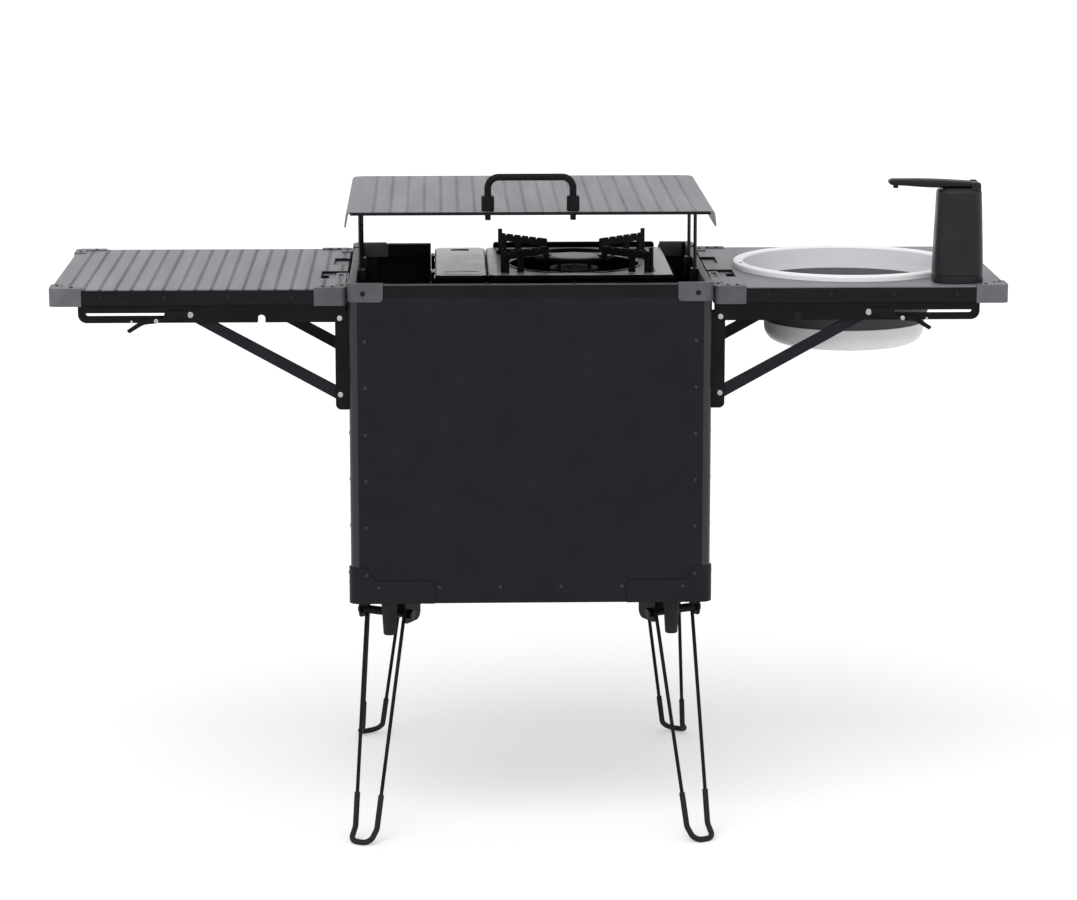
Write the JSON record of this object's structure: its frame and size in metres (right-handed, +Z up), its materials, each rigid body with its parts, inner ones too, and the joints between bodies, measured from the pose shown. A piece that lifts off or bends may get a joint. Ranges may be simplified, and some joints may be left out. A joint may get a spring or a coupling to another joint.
{
  "type": "camp kitchen box",
  "caption": "Box on folding wire legs with a hob in its top under a raised lid, and two fold-down side tables, one with a collapsing basin and a water pump.",
  "frame": {"origin": "on the ground, under the middle of the box", "axes": "+X to the right and +Y away from the viewer of the picture, +Z up; the cook stands at +Y"},
  "size_m": [1.319, 0.5816, 0.925],
  "materials": {
    "black_sheet": "satin powder coat",
    "grey_sheet": "satin anodised",
    "lid_sheet": "satin anodised",
    "grey_fitting": "satin",
    "black_rail": "satin",
    "black_steel": "satin",
    "bright_steel": "brushed",
    "stove_grey": "semi-gloss enamel",
    "stove_black": "gloss enamel",
    "burner_metal": "satin",
    "iron_black": "matt enamel",
    "canister_paint": "semi-gloss",
    "foot_rubber": "matt",
    "knob_plastic": "satin",
    "basin_plastic": "satin",
    "basin_rubber": "matt",
    "pump_plastic": "satin"
  },
  "bodies": {
    "box": {"front_panel": "black_sheet", "rear_panel": "black_sheet", "right_panel": "black_sheet", "left_panel": "black_sheet", "bottom_panel": "black_sheet", "corner_posts": "black_rail", "top_rails": "black_rail", "side_rails": "grey_fitting", "top_corner_brackets": "grey_fitting", "bottom_corner_guards": "grey_fitting", "stove_shelf": "black_sheet", "stove_bay_frame": "black_rail", "lid_post_guides": "knob_plastic", "rest_feet": "foot_rubber", "wall_channels": "black_steel", "bracket_pivots": "bright_steel", "leg_brackets": "black_steel", "leg_bolts": "bright_steel", "stove_body": "stove_black", "stove_top": "stove_grey", "drip_pan": "stove_black", "burner": "burner_metal", "pan_support": "iron_black", "gas_canister": "canister_paint"},
    "canister_cover": {"canister_cover": "stove_grey"},
    "control_knob": {"control_knob": "knob_plastic"},
    "canister_lever": {"canister_lever": "knob_plastic"},
    "lid": {"lid_plate": "lid_sheet", "lid_posts": "bright_steel", "lid_handle": "black_steel"},
    "right_wing": {"right_wing_frame": "black_rail", "right_wing_plate": "grey_sheet", "right_wing_fittings": "grey_fitting", "right_bracket_arms": "black_steel", "pump_column": "pump_plastic"},
    "left_wing": {"left_wing_frame": "black_rail", "left_wing_plate": "grey_sheet", "left_wing_fittings": "grey_fitting", "left_bracket_arms": "black_steel"},
    "basin": {"basin_rim": "basin_plastic", "basin_wall": "basin_rubber"},
    "basin_bowl": {"basin_bowl": "basin_plastic"},
    "pump_spout": {"pump_spout": "pump_plastic"},
    "right_struts": {"right_struts": "black_steel"},
    "right_strut_pins": {"right_strut_pins": "bright_steel"},
    "right_release_levers": {"right_release_levers": "bright_steel"},
    "right_latch": {"right_latch_slide": "bright_steel"},
    "left_struts": {"left_struts": "black_steel"},
    "left_strut_pins": {"left_strut_pins": "bright_steel"},
    "left_release_levers": {"left_release_levers": "bright_steel"},
    "left_latch": {"left_latch_slide": "bright_steel"},
    "front_left_leg": {"front_left_leg": "black_steel", "front_left_leg_sleeve": "foot_rubber"},
    "front_right_leg": {"front_right_leg": "black_steel", "front_right_leg_sleeve": "foot_rubber"},
    "rear_left_leg": {"rear_left_leg": "black_steel", "rear_left_leg_sleeve": "foot_rubber"},
    "rear_right_leg": {"rear_right_leg": "black_steel", "rear_right_leg_sleeve": "foot_rubber"}
  },
  "joints": [
    {"name": "right_wing_fold", "type": "hinge", "parent": "box", "child": "right_wing", "pos_m": [0.262, 0, 0.7262], "axis": [0, 1, 0], "range_deg": [0, 90]},
    {"name": "right_strut_turn", "type": "hinge", "parent": "box", "child": "right_struts", "pos_m": [0.262, 0, 0.6192], "axis": [0, 1, 0], "range_deg": [0, 117.52]},
    {"name": "right_strut_pin_slide", "type": "slide", "parent": "right_wing", "child": "right_strut_pins", "axis": [1, 0, 0], "range_m": [0, 0.13594]},
    {"name": "right_lever_press", "type": "hinge", "parent": "right_wing", "child": "right_release_levers", "pos_m": [0.513, 0, 0.7238], "axis": [0, -1, 0], "range_deg": [0, 14.1]},
    {"name": "right_latch_slide", "type": "slide", "parent": "right_wing", "child": "right_latch", "axis": [1, 0, 0], "range_m": [0, 0.01]},
    {"name": "left_wing_fold", "type": "hinge", "parent": "box", "child": "left_wing", "pos_m": [-0.262, 0, 0.7262], "axis": [0, -1, 0], "range_deg": [0, 90]},
    {"name": "left_strut_turn", "type": "hinge", "parent": "box", "child": "left_struts", "pos_m": [-0.262, 0, 0.6192], "axis": [0, -1, 0], "range_deg": [0, 117.52]},
    {"name": "left_strut_pin_slide", "type": "slide", "parent": "left_wing", "child": "left_strut_pins", "axis": [-1, 0, 0], "range_m": [0, 0.13594]},
    {"name": "left_lever_press", "type": "hinge", "parent": "left_wing", "child": "left_release_levers", "pos_m": [-0.513, 0, 0.7238], "axis": [0, 1, 0], "range_deg": [0, 14.1]},
    {"name": "left_latch_slide", "type": "slide", "parent": "left_wing", "child": "left_latch", "axis": [-1, 0, 0], "range_m": [0, 0.01]},
    {"name": "basin_lift", "type": "slide", "parent": "right_wing", "child": "basin", "axis": [0, 0, 1], "range_m": [0, 0.105]},
    {"name": "basin_collapse", "type": "slide", "parent": "basin", "child": "basin_bowl", "axis": [0, 0, 1], "range_m": [0, 0.0606], "deforming": ["basin_wall"]},
    {"name": "spout_turn", "type": "hinge", "parent": "right_wing", "child": "pump_spout", "pos_m": [0.6165, -0.154, 0.9045], "axis": [0, 1, 0], "range_deg": [0, 90]},
    {"name": "front_left_leg_fold", "type": "hinge", "parent": "box", "child": "front_left_leg", "pos_m": [-0.203, -0.16, 0.303], "axis": [0.8829, -0.4695, 0], "range_deg": [0, 113.07]},
    {"name": "front_right_leg_fold", "type": "hinge", "parent": "box", "child": "front_right_leg", "pos_m": [0.203, -0.16, 0.303], "axis": [0.8829, 0.4695, 0], "range_deg": [0, 107.37]},
    {"name": "rear_left_leg_fold", "type": "hinge", "parent": "box", "child": "rear_left_leg", "pos_m": [-0.203, 0.16, 0.303], "axis": [-0.8829, -0.4695, 0], "range_deg": [0, 107.37]},
    {"name": "rear_right_leg_fold", "type": "hinge", "parent": "box", "child": "rear_right_leg", "pos_m": [0.203, 0.16, 0.303], "axis": [-0.8829, 0.4695, 0], "range_deg": [0, 113.07]},
    {"name": "lid_slide", "type": "slide", "parent": "box", "child": "lid", "axis": [0, 0, 1], "range_m": [-0.04, 0.035]},
    {"name": "cover_open", "type": "hinge", "parent": "box", "child": "canister_cover", "pos_m": [-0.1342, 0, 0.764], "axis": [0, -1, 0], "range_deg": [0, 75]},
    {"name": "knob_turn", "type": "hinge", "parent": "box", "child": "control_knob", "pos_m": [-0.024, 0.206, 0.718], "axis": [0, 1, 0], "range_deg": [0, 120]},
    {"name": "canister_lever_slide", "type": "slide", "parent": "box", "child": "canister_lever", "axis": [0, 0, -1], "range_m": [0, 0.022]}
  ],
  "couplings": [
    {"joint": "right_strut_turn", "follows": "right_wing_fold", "ratio": 1.3052},
    {"joint": "right_strut_pin_slide", "follows": "right_wing_fold", "m_per_rad": 0.086477},
    {"joint": "right_lever_press", "follows": "right_wing_fold", "ratio": 0.15556},
    {"joint": "left_strut_turn", "follows": "left_wing_fold", "ratio": 1.3052},
    {"joint": "left_strut_pin_slide", "follows": "left_wing_fold", "m_per_rad": 0.086477},
    {"joint": "left_lever_press", "follows": "left_wing_fold", "ratio": 0.15556},
    {"joint": "basin_collapse", "follows": "right_wing_fold", "m_per_rad": 0.038515}
  ]
}
